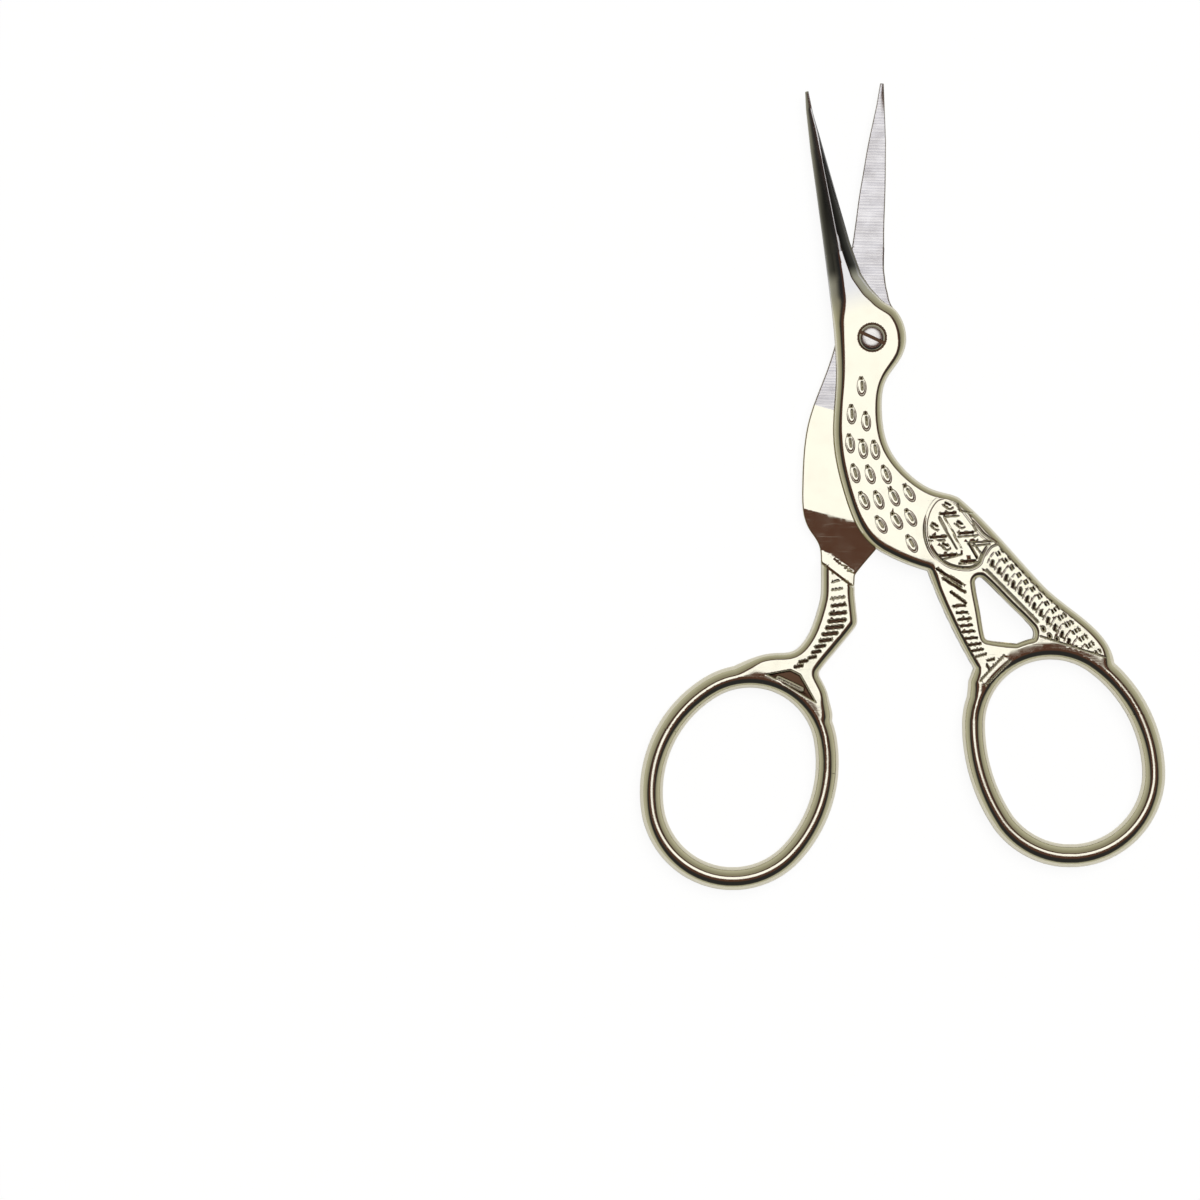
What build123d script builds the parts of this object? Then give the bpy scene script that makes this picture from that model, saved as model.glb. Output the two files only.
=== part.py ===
from build123d import *
from math import cos, isclose, radians, sin, sqrt
import os

os.makedirs("parts", exist_ok=True)

# The pair lies flat with its blades up the page: X to the right, Y to the tips, Z to the front.
# The origin is on the pivot axis, in the back face. All lengths are in millimetres.

# Thickness
plate_thickness = 1.7  # each half where the two lap
ride_gap = 0.04  # between the faces that slide on each other
edge_round = 1.05  # outer edges of body, legs and tail
hole_round = 0.8  # edges of the window between leg and tail

# Bird, below the pivot
bird_length = 60.0  # pivot down to about the middle of the finger bows
bird_width = 30.0  # pivot across to about the middle of the front bow
lap_inset = 0.4  # how far the rear plate hides behind the edge of the body
belly_bulge = 0.25  # of the belly, past a straight line between its ends
shoulder_gap = 0.15  # left at the shoulders when the pair is closed
shoulder_slope = 1.85  # width of the sloping shoulder on the rear leg

# Blades
blade_length = 36.4  # pivot to tip
blade_width = 7.24  # across the root of the front blade
blade_lean = 14.74  # degrees from Y to the front blade
open_angle = 17.1  # degrees between the blades as the pair lies open

# Finger bows, each an egg of four arcs bent from one wire
wire_width = 3.3
wire_depth = 3.3
front_bow_top_radius = 11.0
front_bow_bottom_radius = 11.9
front_bow_right_radius = 20.25
front_bow_left_radius = 25.5
front_bow_stretch = 7.3  # between the centres of its two ends
front_bow_lean = 22.7  # degrees
rear_bow_top_radius = 10.9
rear_bow_bottom_radius = 11.55
rear_bow_right_radius = 19.15
rear_bow_left_radius = 17.55
rear_bow_stretch = 6.9
rear_bow_lean = -4.0  # degrees
# Angles on each bow's top arc, in degrees, where leg and tail run into the wire, with one between
front_bow_angles = (165, 100, 20)
rear_bow_angles = (145, 90, 30)

# Pivot screw
head_diameter = 3.8
head_height = 0.6
head_dome = 0.15
counterbore_depth = 0.7
counterbore_diameter = 4.2
shoulder_diameter = 2.6
thread_diameter = 2.0
slot_width = 0.55
slot_depth = 0.35
slot_angle = -25.0  # degrees
running_clearance = 0.03  # round the screw's shoulder
thread_clearance = 0.02  # round the screw's thread

overrun = 2.0  # how far a cutting shape runs past what it cuts

# Outlines of the bird as shares of its width and length, down from the neck
breast_shares = [(-0.176, -0.005), (-0.170, -0.100), (-0.183, -0.230), (-0.121, -0.385), (-0.032, -0.477)]
belly_shares = [(0.036, -0.5065), (0.264, -0.554)]
nape_shares = [
    (0.102, 0.071),
    (0.164, -0.005),
    (0.130, -0.055),
    (0.069, -0.100),
    (0.048, -0.173),
    (0.080, -0.258),
    (0.183, -0.326),
    (0.317, -0.365),
]
rump_share = (0.426, -0.385)
tail_end_share = (1.153, -0.766)
front_leg_shares = [(0.374, -0.682), (0.484, -0.785)]
front_foot_shares = [(0.461, -0.815), (0.454, -0.850)]
window_shares = [(0.477, -0.5465), (0.859, -0.7372), (0.538, -0.7172)]
window_corner_radii = [0.7, 1.5, 0.6]
front_bow_share = (0.8987, -0.9765)

# Outlines of the rear half as it lies when closed
lap_edge_shares = [(0.318, -0.476), (0.300, -0.385)]
rear_leg_left_shares = [(0.081, -0.540), (0.121, -0.604), (0.135, -0.675)]
rear_instep_shares = [
    (0.123, -0.727),
    (0.082, -0.766),
    (0.002, -0.7835),
    (-0.095, -0.811),
    (-0.222, -0.868),
    (-0.296, -0.906),
]
rear_leg_tip_share = (0.257, -0.5503)
rear_leg_right_shares = [(0.363, -0.893), (0.288, -0.832), (0.224, -0.799), (0.336, -0.660), (0.277, -0.590)]
rear_leg_right_radii = [3.0, 6.0, 0.8, 1.5, 8.0, 0.8]
rear_bow_share = (0.0196, -1.0844)

# Blade stations from the tip to the root: place along the blade, then both edges across it
station_shares = [1.0, 0.932, 0.77, 0.58, 0.38, 0.253, 0.19, 0.135]
front_spine_shares = [-0.032, -0.105, -0.227, -0.340, -0.465, -0.548, -0.591, -0.628]
front_edge_shares = [0.036, 0.018, 0.030, 0.048, 0.069, 0.124, 0.229, 0.372]
rear_spine_shares = [0.036, 0.064, 0.128, 0.157, 0.173, 0.207, 0.269, 0.359]
rear_edge_shares = [-0.036, -0.080, -0.218, -0.345, -0.442, -0.518, -0.559, -0.601]
# Where the flat along the ridge starts and ends, from spine to edge, and how high it and both edges stand
flat_start_shares = [0.45, 0.72, 0.70, 0.585, 0.56, 0.54, 0.39, 0.283]
flat_end_shares = [0.55, 0.88, 0.86, 0.725, 0.66, 0.63, 0.75, 0.79]
ridge_height_shares = [0.22, 0.34, 0.54, 0.75, 0.92, 1.0, 1.0, 1.0]
spine_height_shares = [0.12, 0.18, 0.24, 0.28, 0.30, 0.33, 0.36, 0.38]
edge_height_shares = [0.05, 0.05, 0.05, 0.05, 0.06, 0.12, 0.27, 0.38]

# How far along the belly the shoulder's cut runs, past both sides of the rear leg
shoulder_cut_shares = (-1, 3)

# Directions, as X and Y, in which the long curves run out
nape_direction = (-0.74, 0.67)
breast_direction = (0.12, -0.99)
instep_direction = (-0.69, -0.72)
down = (0, -1)

lap_height = plate_thickness
total_thickness = 2 * plate_thickness
front_floor = lap_height + ride_gap / 2
rear_top = lap_height - ride_gap / 2
half_plate = plate_thickness - ride_gap / 2

front_plane = Plane.XY
rear_plane = Plane.XY.rotated((0, 0, -open_angle))
front_blade_plane = front_plane.rotated((0, 0, blade_lean))
rear_blade_plane = rear_plane.rotated((0, 0, blade_lean))


def bird(share):
    """A point of the bird's outline."""
    return (share[0] * bird_width, share[1] * bird_length)


def inset(share, distance):
    """A point of the bird's outline, moved across by a distance."""
    return (share[0] * bird_width + distance, share[1] * bird_length)


def root_corner(edge_shares):
    """Where an edge of the blade's root meets the body, in the body's own plane."""
    across = edge_shares[-1] * blade_width
    along = station_shares[-1] * blade_length
    lean = radians(blade_lean)
    return (across * cos(lean) - along * sin(lean), across * sin(lean) + along * cos(lean))


def tail_direction():
    """The way the tail's back points, from its end up to the rump."""
    end, rump = bird(tail_end_share), bird(rump_share)
    return ((rump[0] - end[0]) / bird_length, (rump[1] - end[1]) / bird_length)


def below_belly(share, distance):
    """A point at a share of the way along the belly, moved outwards, square to it."""
    start, end = Vector(*bird(belly_shares[0])), Vector(*bird(belly_shares[1]))
    outwards = (end - start).normalized().rotate(Axis.Z, -90)
    point = start + (end - start) * share + outwards * distance
    return (point.X, point.Y)


def blade_section(index, spine_shares, edge_shares):
    """Corners of one station of a blade, from the flat inner face outwards."""
    spine = spine_shares[index] * blade_width
    edge = edge_shares[index] * blade_width
    flat_start = spine + (edge - spine) * flat_start_shares[index]
    flat_end = spine + (edge - spine) * flat_end_shares[index]
    return [
        (spine, 0),
        (spine, spine_height_shares[index] * half_plate),
        (flat_start, ridge_height_shares[index] * half_plate),
        (flat_end, ridge_height_shares[index] * half_plate),
        (edge, edge_height_shares[index] * half_plate),
        (edge, 0),
    ]


def bow_side(top, bottom, top_radius, bottom_radius, side_radius, across):
    """Three points of the side arc that runs smoothly into both end arcs."""
    axis = (bottom - top).normalized()
    stretch = (bottom - top).length
    reach_top, reach_bottom = side_radius - top_radius, side_radius - bottom_radius
    along = (reach_top**2 - reach_bottom**2 + stretch**2) / (2 * stretch)
    hub = top + axis * along - across * sqrt(reach_top**2 - along**2)
    upper = top + (top - hub).normalized() * top_radius
    lower = bottom + (bottom - hub).normalized() * bottom_radius
    return upper, hub + across * side_radius, lower


def bow_path(share, lean, top_radius, bottom_radius, right_radius, left_radius, stretch):
    """Middle line of a finger bow: two end arcs joined by two flatter side arcs."""
    centre = Vector(*bird(share))
    axis = Vector(sin(radians(lean)), -cos(radians(lean)))
    across = axis.rotate(Axis.Z, 90)
    top, bottom = centre - axis * (stretch / 2), centre + axis * (stretch / 2)
    right = bow_side(top, bottom, top_radius, bottom_radius, right_radius, across)
    left = bow_side(top, bottom, top_radius, bottom_radius, left_radius, -across)
    return [
        (left[0], top - axis * top_radius, right[0]),
        right,
        (right[-1], bottom + axis * bottom_radius, left[-1]),
        left[::-1],
    ], top


def on_bow(centre, radius, angle):
    """A point on a bow's end arc, at an angle in degrees."""
    return (centre.X + radius * cos(radians(angle)), centre.Y + radius * sin(radians(angle)))


def in_bow(edge, bow_radius):
    """Whether an edge is the arc that the bow's wire hides."""
    return edge.geom_type == GeomType.CIRCLE and isclose(edge.radius, bow_radius)


def rims_to_round(caps, bow_radius):
    """Outer edges of both faces, without the blade's root and the arc hidden in the bow."""
    below_root = [edge for cap in caps for edge in cap.outer_wire().edges().sort_by(Axis.Y)[:-1]]
    return [edge for edge in below_root if not in_bow(edge, bow_radius)]


def pocket_corners():
    """Corners of the pocket under the front body, past its edge on the left and above."""
    line = [inset(s, shoulder_gap) for s in (rear_leg_tip_share, *lap_edge_shares)]
    below = below_belly(1, overrun)
    above = (line[-1][0], line[-1][1] + bird_length)
    return [below, *line, above, (-bird_width, above[1]), (-bird_width, below[1])]


def shoulder_corners(distance):
    """Corners of the space above the rear plate, up to a line at a distance from the belly."""
    left, right = [below_belly(share, distance) for share in shoulder_cut_shares]
    return [left, right, (right[0], bird_length), (left[0], bird_length)]


def blade_station(plane, station):
    """The plane across a blade at a share of its length, with its own Y standing up."""
    return Plane(
        origin=plane.from_local_coords((0, station * blade_length, 0)),
        x_dir=plane.x_dir,
        z_dir=-plane.y_dir,
    )


# Front half: the side of the bird that shows, with its leg, tail, bow and blade in one forging
front_bow_arcs, front_bow_top = bow_path(
    front_bow_share,
    front_bow_lean,
    front_bow_top_radius,
    front_bow_bottom_radius,
    front_bow_right_radius,
    front_bow_left_radius,
    front_bow_stretch,
)
front_joint = [on_bow(front_bow_top, front_bow_top_radius, angle) for angle in front_bow_angles]
with BuildPart() as front_half:
    with BuildSketch(front_plane) as front_outline:
        with BuildLine():
            Spline(root_corner(front_spine_shares), *[bird(s) for s in breast_shares], bird(belly_shares[0]))
            ThreePointArc(bird(belly_shares[0]), below_belly(1 / 2, belly_bulge), bird(belly_shares[1]))
            Spline(bird(belly_shares[1]), *[bird(s) for s in front_leg_shares])
            Polyline(bird(front_leg_shares[-1]), *[bird(s) for s in front_foot_shares], front_joint[0])
            ThreePointArc(*front_joint)
            Polyline(front_joint[-1], bird(tail_end_share), bird(rump_share))
            Spline(
                bird(rump_share),
                *[bird(s) for s in reversed(nape_shares)],
                root_corner(front_edge_shares),
                tangents=[tail_direction(), nape_direction],
            )
            Line(root_corner(front_edge_shares), root_corner(front_spine_shares))
        make_face()
        with BuildLine():
            FilletPolyline(*[bird(s) for s in window_shares], radius=window_corner_radii, close=True)
        make_face(mode=Mode.SUBTRACT)
    extrude(amount=total_thickness)
    window_rims = [edge for cap in front_half.faces().filter_by(Axis.Z) for edge in cap.inner_wires().edges()]
    fillet(window_rims, radius=hole_round)
    body_rims = rims_to_round(front_half.faces().filter_by(Axis.Z), front_bow_top_radius)
    fillet(body_rims, radius=edge_round)
    # Pocket under the body where the rear half's plate lies and turns
    with BuildSketch(front_plane):
        with BuildLine():
            Polyline(*pocket_corners(), close=True)
        make_face()
    extrude(amount=front_floor, mode=Mode.SUBTRACT)
    # Finger bow
    with BuildLine() as front_bow_line:
        for arc in front_bow_arcs:
            ThreePointArc(*[front_plane.offset(plate_thickness).from_local_coords(point) for point in arc])
    with BuildSketch(Plane(origin=front_bow_line.line @ 0, x_dir=(0, 0, 1), z_dir=front_bow_line.line % 0)):
        Ellipse(wire_depth / 2, wire_width / 2)
    sweep()
    # Blade, with its flat side down
    for index, station in enumerate(station_shares):
        with BuildSketch(blade_station(front_blade_plane.offset(front_floor), station)):
            with BuildLine():
                Polyline(*blade_section(index, front_spine_shares, front_edge_shares), close=True)
            make_face()
    loft(ruled=True)
    # Pivot hole, with a recess for the screw's head
    with Locations(front_plane.offset(total_thickness)):
        CounterBoreHole(shoulder_diameter / 2 + running_clearance, counterbore_diameter / 2, counterbore_depth)
front_half.part.label = "front_half"
export_step(front_half.part, "parts/front_half.step")

# Rear half: the plain plate behind the body, with the second leg, bow and blade in one forging
rear_bow_arcs, rear_bow_top = bow_path(
    rear_bow_share,
    rear_bow_lean,
    rear_bow_top_radius,
    rear_bow_bottom_radius,
    rear_bow_right_radius,
    rear_bow_left_radius,
    rear_bow_stretch,
)
rear_joint = [on_bow(rear_bow_top, rear_bow_top_radius, angle) for angle in rear_bow_angles]
with BuildPart() as rear_half:
    with BuildSketch(rear_plane):
        with BuildLine():
            Spline(
                root_corner(rear_edge_shares),
                *[inset(s, lap_inset) for s in breast_shares],
                inset(belly_shares[0], lap_inset),
                *[bird(s) for s in rear_leg_left_shares],
                tangents=[breast_direction, down],
            )
            Spline(
                bird(rear_leg_left_shares[-1]),
                *[bird(s) for s in rear_instep_shares],
                tangents=[down, instep_direction],
            )
            Line(bird(rear_instep_shares[-1]), rear_joint[0])
            ThreePointArc(*rear_joint)
            FilletPolyline(
                rear_joint[-1],
                *[bird(s) for s in rear_leg_right_shares],
                bird(rear_leg_tip_share),
                bird(lap_edge_shares[0]),
                radius=rear_leg_right_radii,
            )
            Line(bird(lap_edge_shares[0]), bird(lap_edge_shares[1]))
            Spline(
                bird(lap_edge_shares[-1]),
                *[inset(s, -lap_inset) for s in reversed(nape_shares[:-1])],
                root_corner(rear_spine_shares),
                tangents=[(0, 1), nape_direction],
            )
            Line(root_corner(rear_spine_shares), root_corner(rear_edge_shares))
        make_face()
    extrude(amount=total_thickness)
    body_rims = rims_to_round(rear_half.faces().filter_by(Axis.Z), rear_bow_top_radius)
    fillet(body_rims, radius=edge_round)
    # Everything above the plate goes, down to the sloping shoulder that meets the belly when closed
    with BuildSketch(rear_plane.offset(rear_top)):
        with BuildLine():
            Polyline(*shoulder_corners(belly_bulge + shoulder_gap), close=True)
        make_face()
    with BuildSketch(rear_plane.offset(total_thickness)):
        with BuildLine():
            Polyline(*shoulder_corners(belly_bulge + shoulder_gap + shoulder_slope), close=True)
        make_face()
    loft(ruled=True, mode=Mode.SUBTRACT)
    # Finger bow
    with BuildLine() as rear_bow_line:
        for arc in rear_bow_arcs:
            ThreePointArc(*[rear_plane.offset(plate_thickness).from_local_coords(point) for point in arc])
    with BuildSketch(Plane(origin=rear_bow_line.line @ 0, x_dir=(0, 0, 1), z_dir=rear_bow_line.line % 0)):
        Ellipse(wire_depth / 2, wire_width / 2)
    sweep()
    # Blade, with its flat side up
    for index, station in enumerate(station_shares):
        with BuildSketch(blade_station(rear_blade_plane.offset(rear_top), station)):
            with BuildLine():
                Polyline(*[(x, -y) for x, y in blade_section(index, rear_spine_shares, rear_edge_shares)], close=True)
            make_face()
    loft(ruled=True)
    with Locations(rear_plane.offset(rear_top)):
        Hole(thread_diameter / 2 + thread_clearance)
rear_half.part.label = "rear_half"
export_step(rear_half.part, "parts/rear_half.step")

# Pivot screw: slotted head, a shoulder that the front half turns on, and a thread into the rear half
head_floor = total_thickness - counterbore_depth + ride_gap
head_top = head_floor + head_height + head_dome
with BuildPart() as pivot_screw:
    with BuildSketch(Plane.XZ):
        with BuildLine():
            Polyline(
                (0, head_top),
                (0, 0),
                (thread_diameter / 2, 0),
                (thread_diameter / 2, rear_top),
                (shoulder_diameter / 2, rear_top),
                (shoulder_diameter / 2, head_floor),
                (head_diameter / 2, head_floor),
                (head_diameter / 2, head_floor + head_height),
            )
            TangentArc((0, head_top), (head_diameter / 2, head_floor + head_height), tangent=(1, 0))
        make_face()
    revolve(axis=Axis.Z)
    with BuildSketch(Plane.XY.offset(head_top - slot_depth)):
        Rectangle(head_diameter + overrun, slot_width, rotation=slot_angle)
    extrude(amount=slot_depth + overrun, mode=Mode.SUBTRACT)
pivot_screw.part.label = "pivot_screw"
export_step(pivot_screw.part, "parts/pivot_screw.step")
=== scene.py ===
from math import cos, pi, radians, sin

import bmesh
import bpy
import numpy as np
from bpy.props import FloatProperty, FloatVectorProperty, PointerProperty
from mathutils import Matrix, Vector
from mathutils.geometry import delaunay_2d_cdt


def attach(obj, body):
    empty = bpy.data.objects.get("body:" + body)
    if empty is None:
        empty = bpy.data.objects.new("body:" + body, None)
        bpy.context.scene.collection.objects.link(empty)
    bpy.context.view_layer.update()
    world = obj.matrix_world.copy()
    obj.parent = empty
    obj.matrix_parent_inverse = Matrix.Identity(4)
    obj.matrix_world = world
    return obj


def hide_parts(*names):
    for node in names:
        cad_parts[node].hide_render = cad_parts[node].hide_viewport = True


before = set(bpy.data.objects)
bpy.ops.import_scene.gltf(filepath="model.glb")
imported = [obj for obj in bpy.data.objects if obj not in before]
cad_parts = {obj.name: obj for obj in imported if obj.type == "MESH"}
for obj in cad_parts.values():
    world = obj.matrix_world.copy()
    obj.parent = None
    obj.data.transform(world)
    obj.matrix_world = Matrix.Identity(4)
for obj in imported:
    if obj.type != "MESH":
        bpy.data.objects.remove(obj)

bl_info = {
    "name": "Stork embroidery scissors",
    "version": (1, 0, 0),
    "blender": (4, 5, 0),
    "location": "View3D > Sidebar > Scissors",
    "description": "Plated, engraved and ground surfaces of a pair of stork embroidery scissors",
    "category": "Add Mesh",
}

# Lengths below are in millimetres, in the frame of the solids. Pieces are made in metres.
MM = 0.001
# Places that were measured on the photograph are kept in its pixels. X and Y start at the pivot.
MM_PER_PIXEL = 115 / 806
PIVOT_PIXEL = (871.5, 338.0)
PHOTO_CENTRE_PIXEL = (600.0, 600.0)
PHOTO_WIDTH_PIXELS = 1200

# Levels. The flat face of each half stands back from the lap by half of the gap between the halves.
LAP_LEVEL = 1.7
RIDE_GAP = 0.04
FRONT_FLAT = LAP_LEVEL + RIDE_GAP / 2
REAR_FLAT = LAP_LEVEL - RIDE_GAP / 2
FULL_LEVEL = 3.4
# The scene's mesh is nowhere thinner than this
LEAST_THICKNESS = 0.02
ENGRAVING_DEPTH = 0.24

# Bows
WIRE_RADIUS = 1.65
BOW_TOP = LAP_LEVEL + WIRE_RADIUS
# How far the wire's top lies below the top of the plate
BOW_DROP = FULL_LEVEL - BOW_TOP
# The wire's top and underside are worn flat by this much
WORN_TOP = 0.02
# The plain wire is this much slimmer, so that it ends inside the carved part of its bow
BOW_EASE = 0.01
WIRE_SIDES = 48
# Ways from the finger hole's edge between which the wire's top rises to the plate
WIRE_BLEND = (WIRE_RADIUS - 0.4, WIRE_RADIUS + 0.9)
# Widths of the metal beside a finger hole between which it turns from wire into plate
BOW_WIDTHS = (2 * WIRE_RADIUS + 0.15, 2 * WIRE_RADIUS + 1.6)
# Lines across each finger bow, in pixels, above which the wire belongs to the carved half
FRONT_BOW_CUT = ((900, 722), (1200, 712))
REAR_BOW_CUT = ((640, 722), (860, 780))
# Raised bars above the bows, in pixels
FRONT_FOOT_BAR = (983, 680, 1004.5, 658.5)
REAR_FOOT_BAR = (778, 678, 801, 689)
FOOT_BAR_WIDTH = 0.85

# Meshing
MERGE_DISTANCE = 0.02
OUTLINE_STEP = 0.22
CORNER_TURN = radians(35)
# Rows of points along a rounding, by their angles round it, and rows beyond it
RIM_ANGLES = [12, 24, 36, 48, 60, 72, 82, 90]
ROWS_BEYOND_RIM = [0.2, 0.45, 0.8, 1.2, 1.6]
# A point of a row is left out where any outline is closer than this share of the row's way from its own
ROW_SHARE = 0.97
# The coarse net begins this much beyond the widest rounding
RIM_MARGIN = 0.1
FINE_STEP = 0.1
COARSE_STEP = 0.7
# The fine net lies where a mark deeper than this share of the engraving is within this reach
FAINTEST_MARK = 0.02
ENGRAVED_REACH = FINE_STEP * 2.2
# Nine places, in fine steps, that fill one step of a net three times as wide
FINE_SHIFTS = [(row / 2 + column, row * sin(pi / 3)) for row in (-1, 0, 1) for column in (-1, 0, 1)]
# Points of the rows and nets closer to the outline than this are left out
BORDER_CLEARANCE = 0.012
# Points are compared with the outlines in square patches of this size, which saves time
PATCH_SIZE = 4

# Blades. The turn of each from Y, where its steel starts, and where the body turns into it, from the pivot.
FRONT_LEAN = radians(14.74)
REAR_LEAN = radians(-2.36)
BLADE_START = 13.0
BLADE_BLEND = (3.0, 7.0)
# The blade's outline is followed from this much before its start
BLADE_OVERLAP = 1.5
# Rows across the blade, how much they gather at the tip, and points across each of its two rims
BLADE_ROWS = 100
TIP_GATHERING = 1.3
BLADE_RIM_POINTS = 12
# The two rims take up at most this share of the blade's width
RIM_SHARE = 0.9
# Points stand this close beside the ridge, to keep it crisp
RIDGE_SUPPORT = 0.02
# How much of the front blade's facets is flat, where the rest is rounded
STRAIGHT_SHARE = 0.55
# Height of the blade's ridge, spine edge and cutting edge above its flat face, against the way along it
BLADE_STATIONS = [0, 4.9, 6.9, 9.2, 13.8, 21.1, 28.0, 33.9, 36.4]
RIDGE_HEIGHTS = [1.68, 1.68, 1.68, 1.66, 1.52, 1.24, 0.89, 0.54, 0.3]
SPINE_HEIGHTS = [0.65, 0.64, 0.60, 0.55, 0.50, 0.46, 0.38, 0.27, 0.18]
EDGE_HEIGHTS = [0.65, 0.60, 0.42, 0.18, 0.10, 0.08, 0.08, 0.08, 0.06]

# Width of the rounding along the breast side and the nape side of the front, against the height in pixels
BREAST_RIM = (
    [95, 110, 130, 142, 178, 205, 231, 260, 278, 300,
     325, 340, 375, 400, 440, 490, 525, 560, 600],
    [0.25, 0.62, 1.0, 1.16, 1.64, 1.81, 1.88, 2.0, 2.08, 2.15,
     1.83, 1.64, 1.46, 1.36, 1.5, 1.41, 1.37, 1.2, 1.1],
)
NAPE_RIM = (
    [95, 130, 142, 178, 205, 231, 260, 278, 300,
     311, 338, 355, 380, 415, 450, 487, 520, 600],
    [0.05, 0.17, 0.3, 0.79, 1.1, 1.37, 1.5, 1.48, 1.4,
     1.55, 1.5, 1.1, 0.95, 1.14, 1.15, 1.06, 1.2, 1.2],
)
# Height of the rounding along the bird and the legs, and its width along the rear leg
RIM_HEIGHT = 1.05
LEG_RIM = 1.2
# Width and height of the roundings round the window and along the rear plate
WINDOW_RIM = (0.85, 0.8)
PLATE_EDGE = (0.14, 0.08)
# The belly falls gently to its edge over this width, between these heights in pixels
BELLY_SAG = 0.1
BELLY_WIDTH = 3.0
BELLY_TOP = (500, 550)
BELLY_FOOT = (590, 575)

# Screw
SCREW_TOP = 3.48
SLOT_LENGTH = 6.0
SLOT_WIDTH = 0.5
SLOT_DEPTH = 0.3
SLOT_ANGLE = radians(-25)
# Radius and height of the screw's outline, from the middle of its head to the end of its thread
SCREW_PROFILE = [
    (0, SCREW_TOP), (0.5, 3.478), (1.0, 3.467), (1.35, 3.447), (1.55, 3.415), (1.7, 3.36), (1.82, 3.28),
    (1.88, 3.18), (1.9, 3.05), (1.9, 2.76), (1.3, 2.74), (1.3, 1.7), (1.0, 1.68), (1.0, 0.15), (0.9, 0.02),
    (0, 0.02),
]
SCREW_STEPS = 72
SCREW_HOLE_RADIUS = 2.1
SCREW_HOLE_DEPTH = 0.7
# Ways from the hole's radius of the two circles of points between which its wall stands
SCREW_HOLE_WALL = (0.01, -0.01)

# Looks. Here lengths are in metres: the scratches' depth, where the plating fades into steel on the neck,
# along the blade from the pivot, and the heights on the screw's rim over which painted shade grows
# downwards.
SCRATCH_DEPTH = 0.000004
FADE_START = 0.004
FADE_END = 0.0076
SCREW_SHADE_HEIGHTS = (0.00328, 0.0032)
# Near black, painted over the blades' facets as their shade, in place of a dark reflection
FACET_SHADE_COLOUR = (0.03, 0.03, 0.035)


def at(x, y):
    """A pixel of the photograph as millimetres in the frame."""
    return np.array([(x - PIVOT_PIXEL[0]) * MM_PER_PIXEL, (PIVOT_PIXEL[1] - y) * MM_PER_PIXEL])


def heights_in_pixels(points):
    """How far down the photograph points lie, in its pixels."""
    return PIVOT_PIXEL[1] - points[:, 1] / MM_PER_PIXEL


def line_frame(line):
    """Start of a line between two pixels, the way along it and the way across it, down the photograph."""
    start, end = at(*line[0]), at(*line[1])
    ahead = (end - start) / np.linalg.norm(end - start)
    return start, ahead, np.array([ahead[1], -ahead[0]])


def beyond(points, line):
    """How far points lie below a line across the photograph."""
    start, _, down = line_frame(line)
    return (points - start) @ down


def smoothstep(low, high, value):
    """0 at low, 1 at high, with a smooth way between them."""
    share = np.clip((value - low) / (high - low), 0, 1)
    return share * share * (3 - 2 * share)


def along(lean):
    """The way a blade points."""
    return np.array([-sin(lean), cos(lean)])


def circle(count):
    """Points on a circle with a radius of 1."""
    turns = np.linspace(0, 2 * pi, count, endpoint=False)
    return np.stack([np.cos(turns), np.sin(turns)], 1)


# Outlines


def loops_at(node, level, cuts=()):
    """Closed outlines of a CAD node at a level, longest first, without what upright planes cut off."""
    mesh = bmesh.new()
    mesh.from_mesh(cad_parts[node].data)
    bmesh.ops.remove_doubles(mesh, verts=mesh.verts, dist=MERGE_DISTANCE * MM)
    for place, normal in cuts:
        geometry = mesh.verts[:] + mesh.edges[:] + mesh.faces[:]
        bmesh.ops.bisect_plane(mesh, geom=geometry, plane_co=(place[0] * MM, place[1] * MM, 0),
                               plane_no=(normal[0], normal[1], 0), clear_outer=True)
        bmesh.ops.holes_fill(mesh, edges=[edge for edge in mesh.edges if edge.is_boundary])
    geometry = mesh.verts[:] + mesh.edges[:] + mesh.faces[:]
    section = bmesh.ops.bisect_plane(mesh, geom=geometry, plane_co=(0, 0, level * MM), plane_no=(0, 0, 1))
    edges = {item for item in section["geom_cut"] if isinstance(item, bmesh.types.BMEdge)}
    loops = []
    while edges:
        edge = edges.pop()
        first, last = edge.verts
        loop = [first, last]
        while loop[-1] is not first:
            following = [side for side in loop[-1].link_edges if side in edges]
            if not following:
                break
            edges.discard(following[0])
            loop.append(following[0].other_vert(loop[-1]))
        if loop[-1] is first:
            loops.append(np.array([(corner.co.x, corner.co.y) for corner in loop[:-1]]) / MM)
    mesh.free()
    return sorted(loops, key=lambda loop: -np.linalg.norm(loop - np.roll(loop, 1, 0), axis=1).sum())


def node_box(node):
    """Lowest and highest X and Y of a CAD node, in millimetres."""
    corners = np.array(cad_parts[node].bound_box)[:, :2] / MM
    return corners.min(0), corners.max(0)


def area_of(loop):
    following = np.roll(loop, -1, 0)
    return 0.5 * np.sum(loop[:, 0] * following[:, 1] - loop[:, 1] * following[:, 0])


def outwards(loop):
    """The way across an outline at each of its points, away from the area that it encloses."""
    ahead = np.roll(loop, -1, 0) - np.roll(loop, 1, 0)
    ahead /= np.linalg.norm(ahead, axis=1)[:, None]
    return np.stack([ahead[:, 1], -ahead[:, 0]], 1) * (1 if area_of(loop) > 0 else -1)


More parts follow.
